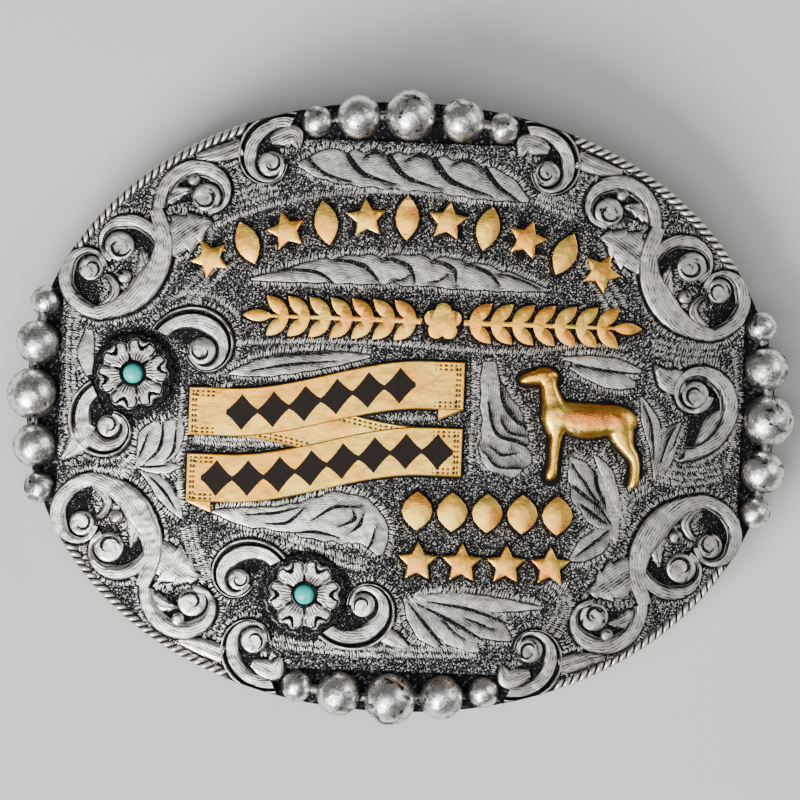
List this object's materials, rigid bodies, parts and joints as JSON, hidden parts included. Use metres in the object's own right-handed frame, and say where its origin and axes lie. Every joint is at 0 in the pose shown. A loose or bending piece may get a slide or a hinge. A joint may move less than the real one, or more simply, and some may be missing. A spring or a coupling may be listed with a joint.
{
  "type": "western trophy buckle",
  "caption": "Oval bent belt buckle plate with beaded and scrolled edges, flowers with stones, a folded ribbon, a livestock figure, and a belt loop and hook behind.",
  "frame": {"origin": "under the middle of the buckle, on the surface that its loop and hook rest on", "axes": "+X along the width to the wearer's left, as the viewer's right, +Y towards the top of the face, +Z out of the face"},
  "size_m": [0.1134, 0.091, 0.0173],
  "materials": {
    "plate": "bright cut and stippled nickel silver, blackened in the hollows",
    "silver": "polished nickel silver castings, blackened in the grooves",
    "hardware": "plain wire, satin",
    "bronze": "polished jeweller's bronze with heat tint",
    "turquoise": "polished stone",
    "enamel": "black enamel, hard"
  },
  "bodies": {
    "root": {"base_plate": "plate", "bead_row_top": "silver", "bead_row_bottom": "silver", "bead_row_left": "silver", "bead_row_right": "silver", "rope_edge_upper_left": "silver", "rope_edge_upper_right": "silver", "rope_edge_lower_left": "silver", "rope_edge_lower_right": "silver", "corner_scroll_upper_left": "silver", "corner_scroll_upper_right": "silver", "corner_scroll_lower_left": "silver", "corner_scroll_lower_right": "silver", "shoulder_scroll_upper_left": "silver", "shoulder_scroll_upper_right": "silver", "shoulder_scroll_lower_left": "silver", "shoulder_scroll_lower_right": "silver", "side_scroll": "silver", "flower_left": "silver", "flower_low": "silver", "turquoise_left": "turquoise", "turquoise_low": "turquoise", "spray_scroll_left_upper": "silver", "spray_scroll_left_lower": "silver", "spray_scroll_low_left": "silver", "spray_scroll_low_right": "silver", "ribbon": "bronze", "ribbon_enamel_upper": "enamel", "ribbon_enamel_lower": "enamel", "lamb": "bronze", "arch_ornament_01": "bronze", "arch_ornament_02": "bronze", "arch_ornament_03": "bronze", "arch_ornament_04": "bronze", "arch_ornament_05": "bronze", "arch_ornament_06": "bronze", "arch_ornament_07": "bronze", "arch_ornament_08": "bronze", "arch_ornament_09": "bronze", "arch_ornament_10": "bronze", "arch_ornament_11": "bronze", "laurel_left": "bronze", "laurel_right": "bronze", "laurel_rosette": "bronze", "panel_lozenge_1": "bronze", "panel_lozenge_2": "bronze", "panel_lozenge_3": "bronze", "panel_lozenge_4": "bronze", "panel_lozenge_5": "bronze", "panel_star_1": "bronze", "panel_star_2": "bronze", "panel_star_3": "bronze", "panel_star_4": "bronze", "belt_loop": "hardware", "belt_hook": "hardware"}
  },
  "joints": []
}
